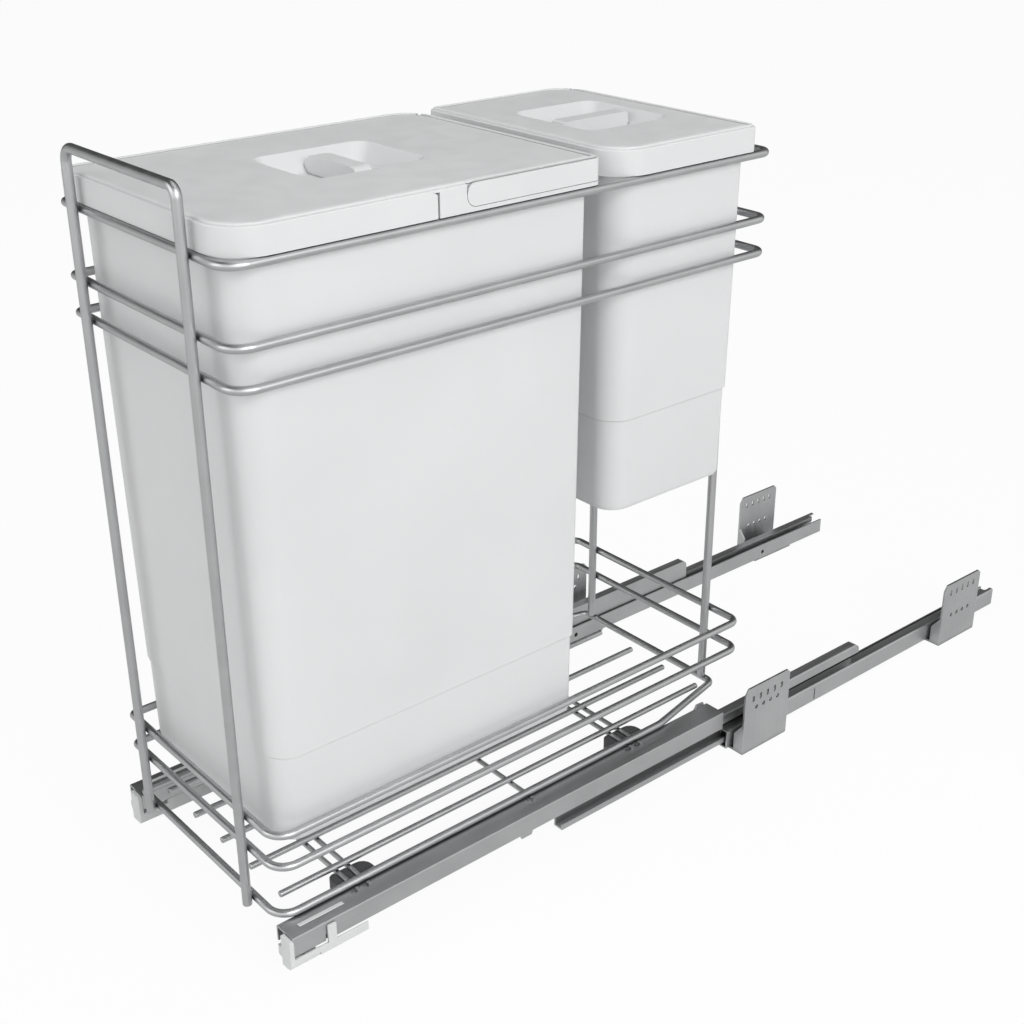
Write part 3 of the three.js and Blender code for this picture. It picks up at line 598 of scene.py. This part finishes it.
def round_front_corner(body):
    """Widens the tight front left corner of the large bin's body to the radius seen through the frame."""
    pick_up(body)
    open_mesh()
    for height, offset in BODY_LINES:
        inset = (RIM_BOTTOM - height) * TAPER + offset
        if height < NEST_STEP:
            inset += STEP_IN
        x = inset - BODY_HALF
        y = inset + BODY_FRONT
        choose(lambda p: abs(p.z - height) < AT_HEIGHT and p.x - x > -CORNER_OUTSIDE
               and p.y - y > -CORNER_OUTSIDE and p.x - x + p.y - y < TIGHT_CORNER + CORNER_PAST)
        grow = (WIDER_CORNER - offset) / TIGHT_CORNER
        bpy.ops.transform.resize(value=(grow, grow, 1), center_override=at(x, y, height))
    return close_mesh()


# ---- the catches ----
NOSE_CUTS = {"right": (99.5, 19), "left": (-117.5, 13)}  # middle and width of what goes
NOSE_MIDDLE = (-7.5, -20)  # its middle from the front wire and from the base wire
NOSE_SIZE = (9, 60)  # its depth and height
TONGUE = (110, 26.5)  # middle of the tongue from the middle of the basket and from the front wire
TONGUE_FOOT = -RING_WIRE / 2 - GAP  # the top of the drawer member
STEM_SIZE = (2.2, 34, 2.6)
STEM_DROP = 1.2
STEM_EDGE = 0.4
HEAD_SIZE = (3.4, 37.5, 0.8)
HEAD_RISE = 0.45
HEAD_EDGE = 0.39


def narrow_nose(catch, hand):
    """Cuts the front of a catch back on its left, so that the end of the channel shows there.
    Both slides carry the same moulding, so it is the left on both."""
    middle, width = NOSE_CUTS[hand]
    return cut_away(catch, block("nose_cut", (middle, *NOSE_MIDDLE), (width, *NOSE_SIZE)))


def catch_tongue(side):
    """The tongue that snaps up through the long slot of the drawer member, and its head."""
    x, y = TONGUE
    stem = block("catch_stem", (side * x, y, TONGUE_FOOT - STEM_DROP), STEM_SIZE)
    head = block("catch_head", (side * x, y, TONGUE_FOOT + HEAD_RISE), HEAD_SIZE)
    return join(ease_edges(stem, STEM_EDGE), ease_edges(head, HEAD_EDGE, segments=3))


def front_catch(hand, side):
    node = f"front_catch_{hand}"
    catch = ease_edges(narrow_nose(copied_node(node, node + "_piece"), hand), MOULDED_EDGE)
    return join(catch, catch_tongue(side))


# ---- pressed and moulded pieces with eased edges ----
EASED = {"cabinet_rail": 0.35, "middle_member": 0.35, "drawer_member": 0.35, "front_bracket": 0.4,
         "rear_bracket": 0.4, "front_wire_clip": 0.5, "rear_wire_clip": 0.5}

for hand, side in SIDES.items():
    for kind, width in EASED.items():
        node = f"{kind}_{hand}"
        stand_for(ease_edges(copied_node(node, node + "_piece"), width), node)
    stand_for(front_catch(hand, side), f"front_catch_{hand}")
large_bin = round_front_corner(sink_ledge(copied_node("large_bin", "large_bin_moulding")))
stand_for(ease_edges(large_bin, MOULDED_EDGE), "large_bin")
small_bin = sink_ledge(copied_node("small_bin", "small_bin_moulding"))
stand_for(ease_edges(small_bin, MOULDED_EDGE), "small_bin")
for node in ("large_bin_lid", "small_bin_lid", "large_bin_handle"):
    stand_for(ease_edges(copied_node(node, node + "_moulding"), MOULDED_EDGE), node)

# ---- floor, light and camera, in metres ----
STUDIO_SIZE = 12  # of the floor
STUDIO_GREY = (0.86, 0.86, 0.86)
STUDIO_GLOW = 0.94  # share of plain white in the floor that the camera and polished metal see
WHITE_IN_METAL = 0.66  # how bright that white is in polished metal
WHITE = (1, 1, 1, 1)
ROOM_LIGHT = 0.42
DARK_ROOM = 0.07  # the least that polished metal sees


def stage():
    put_down()
    bpy.ops.mesh.primitive_plane_add(size=1, location=(0, 0, 0))
    floor = name_it(bpy.context.active_object, "studio_floor")
    floor.scale = (STUDIO_SIZE, STUDIO_SIZE, 1)
    settle()
    paint, tree, shader = finish("studio_white", STUDIO_GREY, 0.9)
    glow = tree.nodes.new("ShaderNodeEmission")
    path = tree.nodes.new("ShaderNodeLightPath")
    strength = spread(tree, path.outputs["Is Glossy Ray"], 1.0, WHITE_IN_METAL, 0, 1)
    tree.links.new(strength, glow.inputs["Strength"])
    seen = figure(tree, "MAXIMUM", path.outputs["Is Camera Ray"], path.outputs["Is Glossy Ray"])
    mix = tree.nodes.new("ShaderNodeMixShader")
    tree.links.new(figure(tree, "MULTIPLY", seen, STUDIO_GLOW), mix.inputs["Fac"])
    tree.links.new(shader.outputs["BSDF"], mix.inputs[1])
    tree.links.new(glow.outputs["Emission"], mix.inputs[2])
    tree.links.new(mix.outputs["Shader"], tree.nodes["Material Output"].inputs["Surface"])
    coat(floor, paint)


def painted_reflection_room(tree):
    """A painted reflection: how bright polished metal sees a room that exists only in its reflections, with
    a bright wall on the right, a paler one low in front, and dark on the left and above."""
    place = tree.nodes.new("ShaderNodeTexCoord")
    split = tree.nodes.new("ShaderNodeSeparateXYZ")
    tree.links.new(place.outputs["Generated"], split.inputs["Vector"])
    x, y, z = (split.outputs[axis] for axis in "XYZ")
    front = figure(tree, "MULTIPLY_ADD", spread(tree, y, 0.55, 0, -0.55, -0.1),
                   spread(tree, z, 1, 0, 0.25, 0.65), DARK_ROOM)
    return figure(tree, "MULTIPLY_ADD", spread(tree, x, 0, 1, -0.15, 0.35),
                  spread(tree, z, 1.05, 0, 0.5, 0.85), front)


def studio_world():
    world = bpy.data.worlds.new("studio")
    bpy.context.scene.world = world
    world.use_nodes = True
    tree = world.node_tree
    light = tree.nodes["Background"]
    light.inputs["Color"].default_value = WHITE
    light.inputs["Strength"].default_value = ROOM_LIGHT
    white = tree.nodes.new("ShaderNodeBackground")
    white.inputs["Color"].default_value = WHITE
    mirror = tree.nodes.new("ShaderNodeBackground")
    # polished metal sees this painted reflection; other rays see the plain room light, and the camera sees
    # plain white
    tree.links.new(painted_reflection_room(tree), mirror.inputs["Strength"])
    path = tree.nodes.new("ShaderNodeLightPath")
    seen = tree.nodes.new("ShaderNodeMixShader")
    both = tree.nodes.new("ShaderNodeMixShader")
    tree.links.new(path.outputs["Is Glossy Ray"], seen.inputs["Fac"])
    tree.links.new(light.outputs[0], seen.inputs[1])
    tree.links.new(mirror.outputs[0], seen.inputs[2])
    tree.links.new(path.outputs["Is Camera Ray"], both.inputs["Fac"])
    tree.links.new(seen.outputs[0], both.inputs[1])
    tree.links.new(white.outputs[0], both.inputs[2])
    tree.links.new(both.outputs[0], tree.nodes["World Output"].inputs["Surface"])


LAMP_TARGET = (0, -0.1, 0.3)
LAMPS = {  # place, size and watts
    "key": ((2.1, -0.5, 1.6), 1.5, 33),
    "fill": ((-0.6, -2.4, 1.2), 1.8, 14.8),
    "top": ((0.2, 0.1, 2.6), 1.8, 10.3),
}


def lamp(name, place, size, power):
    put_down()
    bpy.ops.object.light_add(type="AREA", location=place)
    light = bpy.context.active_object
    light.name = name
    light.data.shape = "SQUARE"
    light.data.size = size
    light.data.energy = power
    aim = Vector(LAMP_TARGET) - Vector(place)
    light.rotation_euler = aim.to_track_quat("-Z", "Y").to_euler()


# where the photo was taken from, found from the straight wires of the basket
EYE_PLACE = (0.84021, -0.82402, 0.76047)
EYE_TURN = 49.743
EYE_TILT = 25.59
EYE_ROLL = -0.19
FOCAL_PIXELS = 1512.70
PICTURE_WIDTH = 1024
SENSOR_WIDTH = 36
EYE_SHIFT = (-0.0039, -0.0014)
NEAREST = 0.01


def camera():
    put_down()
    bpy.ops.object.camera_add(location=EYE_PLACE,
                              rotation=(math.radians(90 - EYE_TILT), 0, math.radians(EYE_TURN)))
    eye = bpy.context.active_object
    eye.rotation_euler.rotate_axis("Z", math.radians(EYE_ROLL))
    eye.data.sensor_width = SENSOR_WIDTH
    eye.data.lens = FOCAL_PIXELS / PICTURE_WIDTH * SENSOR_WIDTH
    eye.data.shift_x, eye.data.shift_y = EYE_SHIFT
    eye.data.clip_start = NEAREST
    bpy.context.scene.camera = eye


stage()
studio_world()
for name, (place, size, power) in LAMPS.items():
    lamp(name, place, size, power)
camera()
bpy.context.scene.view_settings.view_transform = "Standard"
